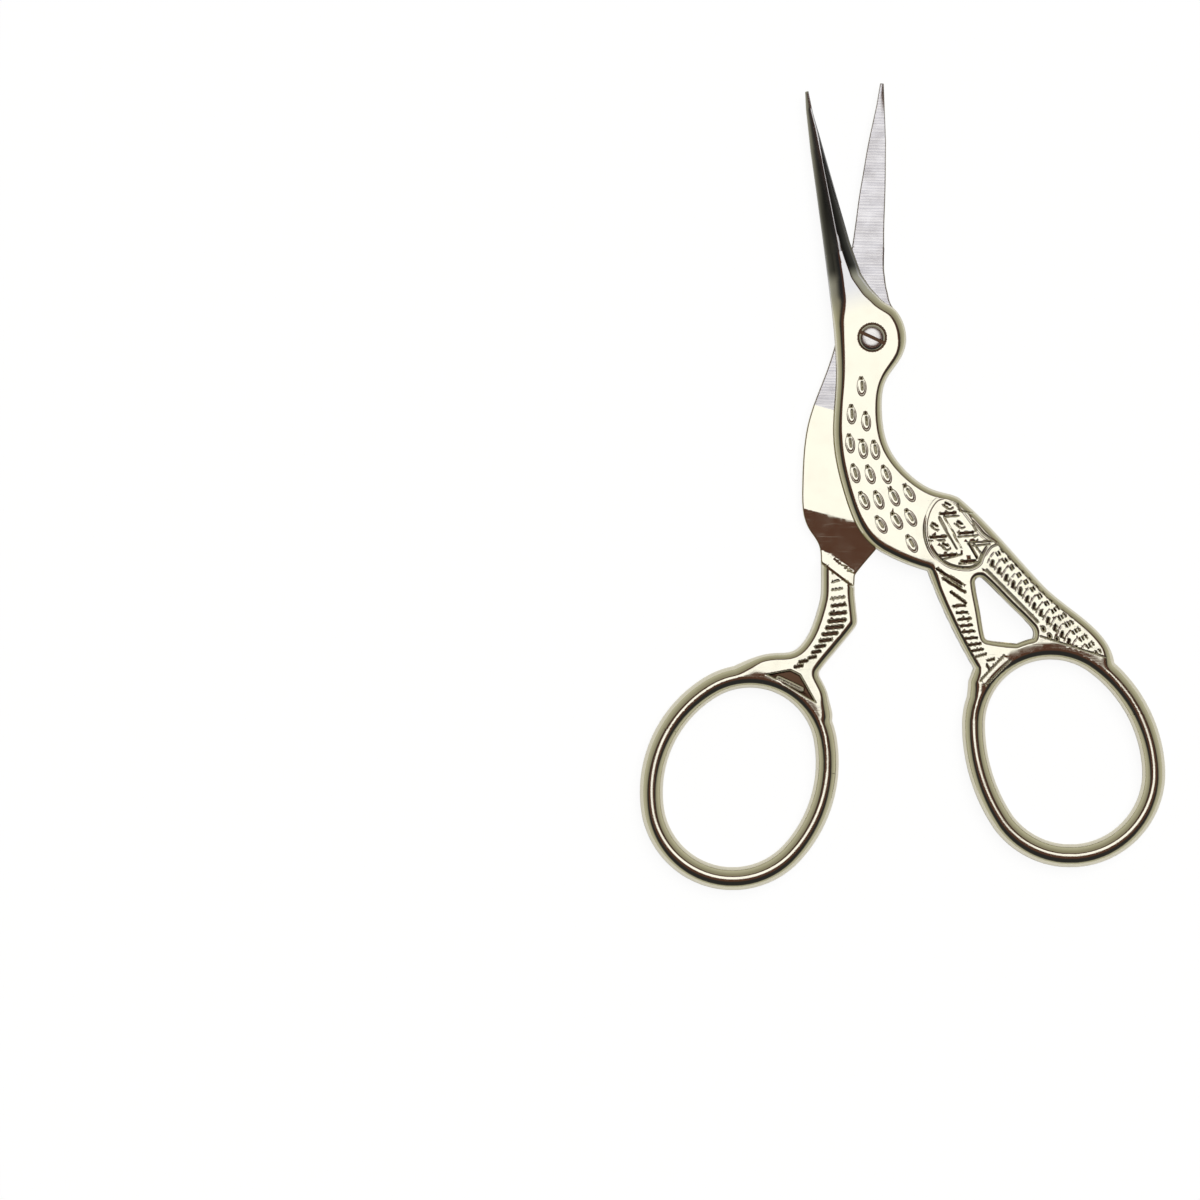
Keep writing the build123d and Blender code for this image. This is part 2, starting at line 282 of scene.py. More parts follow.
def smoothed(loop, step=OUTLINE_STEP):
    """A closed outline with evenly spaced points on smooth curves, which keeps its corners."""
    keep = np.linalg.norm(loop - np.roll(loop, 1, 0), axis=1) > step / 50
    loop = loop[keep]
    forward = np.roll(loop, -1, 0) - loop
    lengths = np.linalg.norm(forward, axis=1)
    heading = np.arctan2(forward[:, 1], forward[:, 0])
    turn = (heading - np.roll(heading, 1) + pi) % (2 * pi) - pi
    before = np.roll(lengths, 1)
    units = forward / lengths[:, None]
    tangents = units * before[:, None] + np.roll(units, 1, 0) * lengths[:, None]
    tangents /= np.linalg.norm(tangents, axis=1)[:, None]
    corner = np.abs(turn) > CORNER_TURN
    leaving = np.where(corner[:, None], units, tangents)
    arriving = np.where(np.roll(corner, -1)[:, None], units, np.roll(tangents, -1, 0))
    points = []
    for index, length in enumerate(lengths):
        start, end = loop[index], loop[(index + 1) % len(loop)]
        for share in np.arange(0, 1, 1 / max(1, round(length / step))):
            square, cube = share**2, share**3
            points.append(start * (2 * cube - 3 * square + 1) + end * (3 * square - 2 * cube)
                          + leaving[index] * length * (cube - 2 * square + share)
                          + arriving[index] * length * (cube - square))
    return np.array(points)


def patches(points):
    """Groups of points that lie close together, as their numbers."""
    cells = np.floor(points / PATCH_SIZE).astype(int)
    keys = cells[:, 0] * 10000 + cells[:, 1]
    order = np.argsort(keys, kind="stable")
    return np.split(order, np.flatnonzero(np.diff(keys[order])) + 1)


def distance_to(points, starts, ends):
    """Shortest distance from each point to any of the straight pieces."""
    result = np.empty(len(points))
    middles, half_lengths = (starts + ends) / 2, np.linalg.norm(ends - starts, axis=1) / 2
    for patch in patches(points):
        place = points[patch]
        centre = (place.min(0) + place.max(0)) / 2
        spread = np.linalg.norm(place.max(0) - centre)
        away = np.linalg.norm(middles - centre, axis=1)
        close = away - half_lengths <= away.min() + 2 * spread
        start, span = starts[close], (ends - starts)[close]
        squared = np.maximum((span**2).sum(1), 1e-12)
        offset = place[:, None] - start[None]
        share = np.clip((offset * span[None]).sum(2) / squared[None], 0, 1)
        offset -= share[..., None] * span[None]
        result[patch] = np.sqrt((offset**2).sum(2).min(1))
    return result


def to_loop(points, loop):
    return distance_to(points, loop, np.roll(loop, -1, 0))


def inside(points, loops):
    """Which points lie inside the outlines, by how many edges lie to their right."""
    result = np.zeros(len(points), bool)
    starts = np.concatenate(loops)
    ends = np.concatenate([np.roll(loop, -1, 0) for loop in loops])
    bottoms, tops = np.minimum(starts[:, 1], ends[:, 1]), np.maximum(starts[:, 1], ends[:, 1])
    for patch in patches(points):
        x, y = points[patch, 0:1], points[patch, 1:2]
        near = (bottoms <= y.max()) & (tops >= y.min()) & (bottoms < tops)
        start, end = starts[near], ends[near]
        spans = (start[:, 1] > y) != (end[:, 1] > y)
        crossing = start[:, 0] + (y - start[:, 1]) * (end[:, 0] - start[:, 0]) / (end[:, 1] - start[:, 1])
        result[patch] = (spans & (x < crossing)).sum(1) % 2 == 1
    return result


# Engraving


def lens(points, centre, tilt, half_length, half_width):
    """How far out points lie in a lens, from 0 at its middle to 1 at its edge, and their places in it."""
    offset = points - centre
    lean = radians(tilt)
    lengthwise = (offset[:, 0] * -sin(lean) + offset[:, 1] * cos(lean)) / half_length
    across = (offset[:, 0] * cos(lean) + offset[:, 1] * sin(lean)) / half_width
    return np.hypot(across, lengthwise), lengthwise, across


def groove(points, start, end, width):
    """1 in the bed of a straight groove with round ends, falling to 0 at its sides."""
    span = end - start
    share = np.clip((points - start) @ span / (span @ span), 0, 1)
    offset = points - start - share[:, None] * span
    return 1 - smoothstep(0.5, 1.0, np.hypot(offset[:, 0], offset[:, 1]) / (width / 2))


def pixel_groove(points, stroke, width):
    return groove(points, at(*stroke[0:2]), at(*stroke[2:4]), width)


def moved(strokes, places):
    """The same strokes from each of some places."""
    return [(x + left, y + up, x + right, y + down, *rest)
            for x, y in places for left, up, right, down, *rest in strokes]


def cut(points, strokes):
    """How deep strokes are cut at points. A stroke has two pixels, a width in millimetres and a depth."""
    result = np.zeros(len(points))
    for *ends, width, depth in strokes:
        result = np.maximum(result, depth * pixel_groove(points, ends, width))
    return result


# Middles of the feather marks in pixels, and the turn of each in degrees
FEATHERS = [
    (861, 386, 3), (851, 414, 3), (865.5, 421, 5), (849.5, 443, 8), (862.5, 448.5, 8),
    (874.5, 449.5, 10), (854.5, 473, 15), (869.5, 474, 18), (885.5, 474, 20), (863.5, 500, 25),
    (878, 499.5, 22), (893.5, 496.5, 25), (908.5, 492.5, 30), (880.5, 524, 30), (896, 520, 30),
    (910, 517, 30), (911, 543, 28),
]
# Their middles lie this much further down, and their half length and half width are in millimetres
FEATHER_DROP = 1.2
FEATHER_SIZE = (1.34, 0.64)

WING_OUTLINE = [
    (945, 497), (937, 499), (930, 507), (926, 517), (924.5, 530), (926, 541), (931, 553),
    (939, 562), (949, 568), (960, 570.5), (972, 570), (980, 565), (984, 556), (991, 546),
    (996, 544), (990, 540), (983, 535), (975, 525), (966, 513), (957, 503),
]
# Strokes go from one pixel to another and have a width in millimetres
WING_STROKES = [
    (940, 514, 954, 513, 0.42), (930, 537.5, 945, 536.5, 0.42), (939, 556, 955, 554.5, 0.42),
    (959, 533.5, 972, 532.5, 0.42), (968, 542.5, 990, 541.5, 0.3), (961, 561.5, 974, 560.5, 0.42),
    (938.5, 518, 956, 549, 0.3), (943.5, 516.5, 960, 547, 0.2), (957, 504, 959, 511, 0.3),
    (959, 511, 972, 513.5, 0.16), (972, 522, 975, 531, 0.25), (968, 544, 976, 558, 0.35),
    (973, 544, 982, 556, 0.16), (945, 517, 958, 516, 0.16), (928, 541, 944, 540.5, 0.16),
    (941, 560, 961, 554.5, 0.16), (959, 564.3, 979, 561.8, 0.16), (972.5, 546, 989, 544.4, 0.16),
    (957.5, 537, 977, 535.5, 0.16),
]
# Strokes narrower than this are shallower
WING_FULL_WIDTH = 0.4
# Strength of the border's outer and inner line, against the height in pixels, and their way from the outline
WING_OUTER = ([515, 535, 560], [0.04, 0.4, 0.06])
WING_INNER = ([545, 562], [0.08, 0.75])
WING_OUTER_WAY = 0.1
WING_INNER_WAY = 0.38
WING_LINE_WIDTH = 0.12
WING_EYES = [(947, 504), (934.2, 524.8), (944.5, 544.7), (959, 522.9)]
# Two short cuts and a faint line below them, from the middle of each eye, with their widths
EYE_STROKES = [
    (-2.4, -1.2, 2.4, 1.2, 0.32), (-3.8, 1.4, -1.0, 3.6, 0.26),
    (-1.0, 4.4, 2.2, 5.6, 0.15), (2.2, 5.6, 5.0, 4.4, 0.15),
]
EYE_FULL_WIDTH = 0.3

# The foot of the first scale of the tail, and the way from each scale to the next
TAIL_START = (991.6, 564.4)
TAIL_STEP = (6.95, 7.1)
TAIL_SCALES = 15
# Cuts of each scale from its foot, with their widths and strengths: its pit, its arch and nicks beyond it
SCALE_STROKES = [
    (0.2, -2.8, -0.8, 1.0, 0.46, 1.0), (-0.8, 1.0, 1.8, 2.8, 0.3, 0.8),
    (-4.6, -1.6, -2.2, -7.2, 0.15, 0.14), (-2.2, -7.2, 1.2, -11.6, 0.15, 0.14),
    (3.4, -11.4, 5.2, -8.6, 0.26, 0.9), (5.8, -12.8, 7.4, -10.2, 0.26, 0.9),
    (8.6, -14.6, 10.9, -12.0, 0.26, 0.8),
]
# The groove beside the scales and the line where they end
TAIL_GROOVE = (985.5, 570.2, 1036.5, 621.8, 0.36, 0.66)
TAIL_BORDER = (1039, 636, 1104, 657, 0.16, 0.35)
# Pits at the tail's end, with their turn in degrees, half length and half width
TAIL_END_PITS = [(1042.5, 629), (1048.8, 636), (1056, 639)]
TAIL_PIT = (24, 0.42, 0.25)

FRONT_LEG_STROKES = [
    (936, 569, 961, 584, 0.3), (943, 579, 964, 592, 0.3), (950, 592, 965, 603, 0.3),
    (940, 573, 960, 587, 0.14), (953, 606, 964, 605.5, 0.3), (956, 613, 966, 612, 0.3),
    (958, 619.5, 969, 618.5, 0.3), (960, 626, 971, 625, 0.3), (962, 632, 973, 631, 0.3),
    (965, 638.5, 976, 637.5, 0.3),
    (968, 645, 979, 643.5, 0.3), (971, 651, 982, 649, 0.28), (974, 657, 985, 654, 0.24),
    (986.5, 660.5, 993, 659, 0.26), (986, 664, 988, 669, 0.26), (988, 669, 993.5, 665.5, 0.2),
    (979.5, 680.5, 1003.5, 655, 0.2), (985, 685, 1009, 660.5, 0.2),
]
# The strokes are cut this many times as wide, and those narrower than the full width are shallower
FRONT_LEG_WIDENING = 1.3
FRONT_LEG_FULL_WIDTH = 0.3
# Middle of each groove across the rear leg in pixels, its length in pixels and its width in millimetres
REAR_LEG_GROOVES = [
    (835, 581, 5, 0.1), (836.5, 589, 9, 0.14), (837.5, 597.5, 11, 0.2), (838, 605, 12, 0.28),
    (837.5, 613, 14, 0.36), (836.5, 620.5, 15, 0.42), (834, 627, 15, 0.42), (829.5, 633.5, 13, 0.38),
    (825, 640, 10, 0.36), (820, 646, 8, 0.34), (816, 651.5, 7, 0.3), (812, 657, 6, 0.26),
    (803, 661, 7, 0.28), (798, 666, 7, 0.28),
]
# The grooves are cut this much wider, and those narrower than the full width are shallower
REAR_LEG_WIDENING = 0.18
REAR_LEG_FULL_WIDTH = 0.26
# The sunk triangle above the rear half's bow, and how far in its bed reaches its full depth
REAR_FOOT = [(764, 674), (790, 669), (800, 674), (817, 704), (806, 698), (780, 682)]
REAR_FOOT_SLOPE = 0.25


def feather_marks(points):
    """Struck marks on the bird's body: a ring, a slit inside it and a dark pit at its upper end."""
    depth = np.zeros(len(points))
    for x, y, tilt in FEATHERS:
        out, lengthwise, across = lens(points, at(x, y + FEATHER_DROP), tilt, *FEATHER_SIZE)
        ring = np.exp(-((out - 0.87) / 0.11) ** 2) * np.clip(0.62 - 0.5 * lengthwise + 0.2 * across, 0.3, 1)
        slit = np.exp(-((across - 0.14) / 0.13) ** 2) * smoothstep(-0.45, -0.15, lengthwise)
        slit *= smoothstep(0.62, 0.4, lengthwise)
        pit = np.exp(-(((lengthwise - 0.92) / 0.115) ** 4 + (across / 0.26) ** 4))
        mark = (0.2 * ring + 0.66 * slit) * smoothstep(1.1, 1.0, out) + 1.1 * pit
        depth = np.maximum(depth, np.minimum(mark, 1))
    return depth


def wing_marks(points):
    """The wing's border and the key pattern inside it."""
    border = smoothed(np.array([at(*place) for place in WING_OUTLINE]), 0.1)
    reach = to_loop(points, border)
    pixels = heights_in_pixels(points)
    outer = np.interp(pixels, *WING_OUTER) * np.exp(-((reach - WING_OUTER_WAY) / WING_LINE_WIDTH) ** 2)
    inner = np.interp(pixels, *WING_INNER) * np.exp(-((reach - WING_INNER_WAY) / WING_LINE_WIDTH) ** 2)
    strokes = [(*stroke, min(1, stroke[4] / WING_FULL_WIDTH)) for stroke in WING_STROKES]
    for stroke in moved(EYE_STROKES, WING_EYES):
        strokes.append((*stroke, min(1, stroke[4] / EYE_FULL_WIDTH) ** 2))
    return np.maximum(np.where(inside(points, [border]), inner, outer), cut(points, strokes))


def tail_marks(points):
    """Overlapping scales down the tail, each with a pit at its foot, and a groove beside them."""
    feet = [np.array(TAIL_START) + np.array(TAIL_STEP) * index for index in range(TAIL_SCALES)]
    depth = cut(points, moved(SCALE_STROKES, feet))
    for x, y in TAIL_END_PITS:
        out, _, _ = lens(points, at(x, y), *TAIL_PIT)
        depth = np.maximum(depth, np.exp(-(out / 0.85) ** 4))
    depth *= smoothstep(0.0, -0.15, beyond(points, (TAIL_BORDER[:2], TAIL_BORDER[2:4])))
    return np.maximum(depth, cut(points, [TAIL_GROOVE, TAIL_BORDER]))


def front_leg_marks(points):
    """Slanted strokes down the front leg."""
    strokes = []
    for *ends, width in FRONT_LEG_STROKES:
        strokes.append((*ends, width * FRONT_LEG_WIDENING, min(1, width / FRONT_LEG_FULL_WIDTH)))
    return cut(points, strokes)


def rear_leg_marks(points):
    """Grooves across the rear leg."""
    strokes = []
    for x, y, length, width in REAR_LEG_GROOVES:
        ends = (x - length / 2, y + 1, x + length / 2, y - 0.5)
        strokes.append((*ends, width + REAR_LEG_WIDENING, min(1, width / REAR_LEG_FULL_WIDTH)))
    return cut(points, strokes)


def rear_foot_marks(points):
    """A sunk, punched triangle above the bow, with a raised bar in it."""
    corners = np.array([at(*place) for place in REAR_FOOT])
    bed = np.where(inside(points, [corners]), smoothstep(0, REAR_FOOT_SLOPE, to_loop(points, corners)), 0)
    bar = pixel_groove(points, REAR_FOOT_BAR, FOOT_BAR_WIDTH)
    slit = pixel_groove(points, REAR_FOOT_BAR, 0.16)
    return np.maximum(bed * (1 - bar), 0.25 * slit)


# Shapes


def rounded(distance, width, height):
    """Height lost beside an edge whose rounding has this width and height."""
    share = np.clip(distance / width, 0, 1)
    return height * (1 - np.sqrt(1 - (1 - share) ** 2))


def mixed(body, edge, blade, wire):
    """A size of the body's rim that turns into the blade's and into the wire's radius by their shares."""
    return body + (edge - body) * blade + (WIRE_RADIUS - body) * wire


class Half:
    """Outlines of one half and how high its faces stand over any point."""

    # A line through the half from its tip to its foot, in pixels. The breast's side is left of it.
    SPINE_PIXELS = []

    def __init__(self, node, level, lean, bow_cut, windows):
        start, _, down = line_frame(bow_cut)
        self.lean = lean
        self.bow_cut = (start, down)
        self.blade_cut = (along(lean) * BLADE_START, along(lean))
        self.box = node_box(node)
        self.whole = [smoothed(loop) for loop in loops_at(node, level)]
        self.part = [smoothed(loop) for loop in loops_at(node, level, [self.bow_cut, self.blade_cut])]
        self.outer, self.bow = self.whole[0], self.whole[1]
        self.windows = self.whole[2:2 + windows]
        self.starts, self.ends = self.outer, np.roll(self.outer, -1, 0)
        self.breast = self.breast_side((self.starts + self.ends) / 2)

    def breast_side(self, points):
        """Whether points of the outline lie on the breast's side of the line through the half."""
        spine = np.array([at(*place) for place in self.SPINE_PIXELS])
        return points[:, 0] < np.interp(points[:, 1], spine[::-1, 1], spine[::-1, 0])

    def distances(self, points):
        breast = distance_to(points, self.starts[self.breast], self.ends[self.breast])
        nape = distance_to(points, self.starts[~self.breast], self.ends[~self.breast])
        bow = to_loop(points, self.bow)
        return breast, nape, bow

    def bow_share(self, outer, bow):
        """How much a place belongs to the wire of the bow."""
        return 1 - smoothstep(*BOW_WIDTHS, outer + bow)

    def blade_share(self, points):
        return smoothstep(*BLADE_BLEND, points @ along(self.lean))

    def wire(self, distance):
        """Level of the wire's top at a distance from the finger hole."""
        return np.minimum(BOW_TOP - rounded(distance, WIRE_RADIUS, WIRE_RADIUS), BOW_TOP - WORN_TOP)

    def over_bow(self, bow):
        """The wire's top, and the rise from it to the plate."""
        return self.wire(bow) + BOW_DROP * smoothstep(*WIRE_BLEND, bow)

    def ground(self, points):
        """Where the upper face is ground steel instead of plated."""
        return np.zeros(len(points), bool)

    def painted_facet_shade(self, points):
        """How dark the ground facets are painted, as painted shade that stands in for their dark reflection.
        """
        return np.zeros(len(points))

    def tarnish_and_shade(self, points):
        """How far the face is darkened beside the engraving, as painted shade."""
        return np.zeros(len(points))


class Front(Half):
    # Number of the material of the blade's upper face
    TOP_STEEL = 0
    SPINE_PIXELS = [
        (806.7, 80), (806.7, 93), (809.5, 112), (813.5, 130), (817.8, 142), (827.5, 178), (837, 231),
        (842, 262), (860, 400), (890, 520), (975, 575), (1010, 700), (1010, 900),
    ]
    # Painted shade on the facets, which stands in for their dark reflection, against the way from the edge
    # to the ridge, on the near side and beyond it
    NEAR_DARK = ([0, 0.2, 0.5, 0.75, 0.9], [0.35, 0.8, 0.9, 0.4, 0])
    FAR_DARK = ([0, 0.3, 0.85, 1.002, 1.012], [0.3, 0.9, 1, 1, 0])
    # Where it grows on the neck, and where it dies away towards the tip on the near side
    DARK_START = (8.4, 10.8)
    NEAR_DARK_END = (34, 18)

    def __init__(self):
        super().__init__("front_half", LAP_LEVEL + RIDE_GAP, FRONT_LEAN, FRONT_BOW_CUT, 1)
        self.lower = [smoothed(loop) for loop in loops_at("front_half", LAP_LEVEL / 2)]

    def top(self, points):
        breast, nape, bow = self.distances(points)
        pixels = heights_in_pixels(points)
        way = points @ along(self.lean)
        blade = self.blade_share(points)
        wire = self.bow_share(np.minimum(breast, nape), bow)
        ridge = FRONT_FLAT + np.interp(way, BLADE_STATIONS, RIDGE_HEIGHTS)
        crown = FULL_LEVEL + (ridge - FULL_LEVEL) * blade
        crown = crown + (BOW_TOP - crown) * wire
        straight = STRAIGHT_SHARE * blade
        losses = []
        for distance, rim, edge in ((breast, BREAST_RIM, SPINE_HEIGHTS), (nape, NAPE_RIM, EDGE_HEIGHTS)):
            fall = crown - FRONT_FLAT - np.interp(way, BLADE_STATIONS, edge)
            height = mixed(RIM_HEIGHT, fall, blade, wire)
            width = np.interp(pixels, *rim)
            width = mixed(width, width, blade, wire)
            flat = height * (1 - np.clip(distance / width, 0, 1))
            losses.append((1 - straight) * rounded(distance, width, height) + straight * flat)
        belly = smoothstep(*BELLY_TOP, pixels) * smoothstep(*BELLY_FOOT, pixels)
        sag = BELLY_SAG * belly * np.clip(1 - breast / BELLY_WIDTH, 0, 1) ** 2
        level = crown - np.maximum(*losses) - sag
        level = np.minimum(level, FULL_LEVEL - rounded(to_loop(points, self.windows[0]), *WINDOW_RIM))
        level = np.minimum(level, self.over_bow(bow))
        level = level + (BOW_TOP - level) * pixel_groove(points, FRONT_FOOT_BAR, FOOT_BAR_WIDTH)
        away = np.linalg.norm(points, axis=1)
        return np.where(away < SCREW_HOLE_RADIUS, FULL_LEVEL - SCREW_HOLE_DEPTH, level)

    def bottom(self, points, top):
        lap = ~inside(points, self.lower)
        return np.where(lap, FRONT_FLAT, FULL_LEVEL - top)

    def marks(self, points):
        marks = [feather_marks, wing_marks, tail_marks, front_leg_marks]
        return np.maximum.reduce([mark(points) for mark in marks])

    def painted_facet_shade(self, points):
        """Painted shade on the ground facets, which stands in for their dark reflection. The narrow one
        beyond the ridge is the darkest.
        """
        breast, nape, _ = self.distances(points)
        pixels = heights_in_pixels(points)
        way = points @ along(self.lean)
        near = breast / np.interp(pixels, *BREAST_RIM)
        far = nape / np.interp(pixels, *NAPE_RIM)
        near_dark = np.interp(near, *self.NEAR_DARK) * smoothstep(*self.NEAR_DARK_END, way)
        far_dark = np.interp(far, *self.FAR_DARK)
        return np.where(far < near, far_dark, near_dark) * smoothstep(*self.DARK_START, way)

    def tarnish_and_shade(self, points):
        """Painted shade in the recess round the screw."""
        return (np.linalg.norm(points, axis=1) < SCREW_HOLE_RADIUS).astype(float)


class Rear(Half):
    TOP_STEEL = 1
    SPINE_PIXELS = [
        (882.5, 75), (882.3, 84), (876, 146), (872, 250), (868, 340), (850, 500), (830, 620),
        (735, 700), (735, 900),
    ]
    # The upper face is ground steel above this line, in pixels
    RICASSO_PIXELS = ((818, 405.8), (834, 410.3))
    # The plate sinks from the first of these lines, in pixels, to the second, where a level ledge begins
    DIP_PIXELS = ((810.4, 510), (855.2, 521.5))
    SHOULDER_PIXELS = ((821.4, 548.8), (854.5, 574))
    DIP_SLOPE = 0.08
    DIP = 0.42
    LEDGE_WIDTH = 1.35
    STEP_WIDTH = 0.45
    # Where the rows of points along these lines begin and end, from the line's first place
    CREASE_ENDS = (-6, 14)

    def __init__(self):
        super().__init__("rear_half", LAP_LEVEL - RIDE_GAP, REAR_LEAN, REAR_BOW_CUT, 0)

    def top(self, points):
        breast, nape, bow = self.distances(points)
        outer = np.minimum(breast, nape)
        wire = self.bow_share(outer, bow)
        sunk, past = beyond(points, self.DIP_PIXELS), beyond(points, self.SHOULDER_PIXELS)
        floor = REAR_FLAT - np.where(past > 0, self.DIP, self.DIP_SLOPE * np.clip(sunk, 0, None))
        climb = np.clip((past - self.LEDGE_WIDTH) / self.STEP_WIDTH, 0, 1)
        leg = FULL_LEVEL - BOW_DROP * wire
        leg = leg - rounded(outer, mixed(LEG_RIM, LEG_RIM, 0, wire), mixed(RIM_HEIGHT, RIM_HEIGHT, 0, wire))
        leg = np.minimum(leg, self.over_bow(bow))
        leg = leg + (BOW_TOP - leg) * pixel_groove(points, REAR_FOOT_BAR, FOOT_BAR_WIDTH)
        edge = floor - rounded(outer, *PLATE_EDGE)
        slope = edge + (FULL_LEVEL - REAR_FLAT + self.DIP) * climb
        return np.where(climb > 0, np.minimum(leg, slope), edge)

    def bottom(self, points, top):
        breast, nape, bow = self.distances(points)
        wire = self.bow_share(np.minimum(breast, nape), bow)
        way = points @ along(self.lean)
        blade = self.blade_share(points)
        crown = (REAR_FLAT - np.interp(way, BLADE_STATIONS, RIDGE_HEIGHTS)) * blade + BOW_DROP * wire
        pixels = PIVOT_PIXEL[1] - way / MM_PER_PIXEL
        losses = []
        for distance, rim, edge in ((breast, BREAST_RIM, EDGE_HEIGHTS), (nape, NAPE_RIM, SPINE_HEIGHTS)):
            fall = REAR_FLAT - np.interp(way, BLADE_STATIONS, edge) - crown
            width = mixed(LEG_RIM, np.interp(pixels, *rim), blade, wire)
            losses.append(rounded(distance, width, mixed(RIM_HEIGHT, fall, blade, wire)))
        return np.maximum(crown + np.maximum(*losses), FULL_LEVEL - self.over_bow(bow))

    def marks(self, points):
        return np.maximum(rear_leg_marks(points), rear_foot_marks(points))

    def creases(self):
        """Points along the lines where the plate changes its slope."""
        found = []
        ledge = (0, self.LEDGE_WIDTH, self.LEDGE_WIDTH + self.STEP_WIDTH)
        lines = ((self.DIP_PIXELS, (0,)), (self.RICASSO_PIXELS, (0,)), (self.SHOULDER_PIXELS, ledge))
        for line, shifts in lines:
            start, ahead, down = line_frame(line)
            steps = np.arange(*self.CREASE_ENDS, OUTLINE_STEP)[:, None]
            found += [start + ahead * steps + down * shift for shift in shifts]
        return np.concatenate(found)

    def ground(self, points):
        return beyond(points, self.RICASSO_PIXELS) < 0


def hex_net(loop, step):
    """Evenly spaced points in staggered rows over the box of an outline."""
    low, high = loop.min(0), loop.max(0)
    rows = np.arange(low[1], high[1], step * sin(pi / 3))
    x, y = np.meshgrid(np.arange(low[0], high[0], step), rows)
    x = x + (np.arange(len(rows)) % 2)[:, None] * step / 2
    return np.stack([x.ravel(), y.ravel()], 1)


def engraved_near(half, points):
    """Whether the face is engraved at points or a little way from them in any of six directions."""
    shifts = [(0, 0), *(ENGRAVED_REACH * circle(6))]
    return np.maximum.reduce([half.marks(points + np.array(shift)) for shift in shifts]) > FAINTEST_MARK


def inner_points(half, loops):
    """Rows of points along the roundings, a fine net where the face is engraved, a coarse one elsewhere."""
    found = []
    for loop in half.whole:
        inwards = outwards(loop) * (-1 if loop is half.outer else 1)
        pixels = heights_in_pixels(loop)
        if loop is half.bow:
            width = np.full(len(loop), WIRE_RADIUS)
        elif loop is not half.outer:
            width = np.full(len(loop), WINDOW_RIM[0])
        elif isinstance(half, Front):
            width = np.where(half.breast, np.interp(pixels, *BREAST_RIM), np.interp(pixels, *NAPE_RIM))
        else:
            width = np.full(len(loop), LEG_RIM)
        reaches = [width * (1 - cos(radians(angle))) for angle in RIM_ANGLES]
        if loop is half.outer or loop is half.bow:
            reaches += [width + step for step in ROWS_BEYOND_RIM]
        for reach in reaches:
            row = loop + inwards * reach[:, None]
            true = np.minimum.reduce([to_loop(row, other) for other in half.whole])
            found.append(row[true > reach * ROW_SHARE])
    coarse = hex_net(loops[0], COARSE_STEP)
    coarse = coarse[inside(coarse, loops)]
    wide = hex_net(loops[0], FINE_STEP * 3)
    wide = wide[inside(wide, loops)]
    wide = wide[engraved_near(half, wide)]
    found += [wide + np.array(shift) * FINE_STEP for shift in FINE_SHIFTS]
    plain = ~engraved_near(half, coarse)
    rim = np.minimum.reduce([to_loop(coarse, other) for other in half.whole])
    pixels = heights_in_pixels(coarse)
    widest = np.maximum(np.interp(pixels, *BREAST_RIM), np.interp(pixels, *NAPE_RIM)) + RIM_MARGIN
    found.append(coarse[plain & (rim > widest)])
    if isinstance(half, Front):
        found += [circle(SCREW_STEPS) * (SCREW_HOLE_RADIUS + step) for step in SCREW_HOLE_WALL]
    else:
        found.append(half.creases())
    return np.concatenate(found)


def net_over(half):
    """Points and triangles, in millimetres, over the plate, leg and upper bow of one half."""
    loops = half.part
    edges, first = [], 0
    for loop in loops:
        edges += [(first + corner, first + (corner + 1) % len(loop)) for corner in range(len(loop))]
        first += len(loop)
    inner = inner_points(half, loops)
    inner = inner[inside(inner, loops)]
    inner = inner[np.minimum.reduce([to_loop(inner, loop) for loop in loops]) > BORDER_CLEARANCE]
    flat = [Vector(point) for point in np.concatenate([*loops, inner])]
    net = delaunay_2d_cdt(flat, edges, [], 1, 1e-5)
    points = np.array([(point.x, point.y) for point in net[0]])
    faces = np.array([face for face in net[2] if len(face) == 3])
    faces = faces[inside(points[faces].mean(1), loops)]
    a, b, c = points[faces[:, 0]], points[faces[:, 1]], points[faces[:, 2]]
    turned = (b[:, 0] - a[:, 0]) * (c[:, 1] - a[:, 1]) - (b[:, 1] - a[:, 1]) * (c[:, 0] - a[:, 0]) < 0
    faces[turned] = faces[turned][:, ::-1]
    return points, faces


def store(mesh, name, upper):
    """Keeps one number for each point of the upper face, and 0 for the lower face, with the mesh."""
    layer = mesh.attributes.new(name, "FLOAT", "POINT")
    layer.data.foreach_set("value", np.concatenate([upper, np.zeros(len(upper))]).astype(np.float32))


def shell_object(half, name, points, faces, top, bottom, steel):
    """A closed piece between its upper and its lower face, which have the same points and faces."""
    count = len(points)
    bottom = np.minimum(bottom, top - LEAST_THICKNESS)
    vertices = np.concatenate([np.column_stack([points, top]), np.column_stack([points, bottom])]) * MM
    lower = [[corner + count for corner in reversed(face)] for face in faces]
    sides = [side for face in faces for side in zip(face, face[1:] + face[:1])]
    known = set(sides)
    walls = [(b, a, a + count, b + count) for a, b in sides if (b, a) not in known]
    mesh = bpy.data.meshes.new(name)
    mesh.from_pydata(vertices.tolist(), [], faces + lower + walls)
    for polygon, number in zip(mesh.polygons, steel):
        polygon.material_index = int(number)
    mesh.validate()
    # How far each point takes the painted shade of the facets
    store(mesh, "painted_facet_shade", half.painted_facet_shade(points))
    piece = bpy.data.objects.new(name, mesh)
    bpy.context.collection.objects.link(piece)
    return piece


def plate_object(name, half):
    """The plate, leg and upper bow of one half, with their engraving."""
    points, faces = net_over(half)
    top = half.top(points)
    bottom = half.bottom(points, top)
    depth = half.marks(points)
    top = top - depth * ENGRAVING_DEPTH
    points = np.clip(points, *half.box)
    steel = half.ground(points[faces].mean(1))
    piece = shell_object(half, name, points, faces.tolist(), top, bottom, steel)
    store(piece.data, "recess", np.maximum(depth, half.tarnish_and_shade(points)))
    return piece


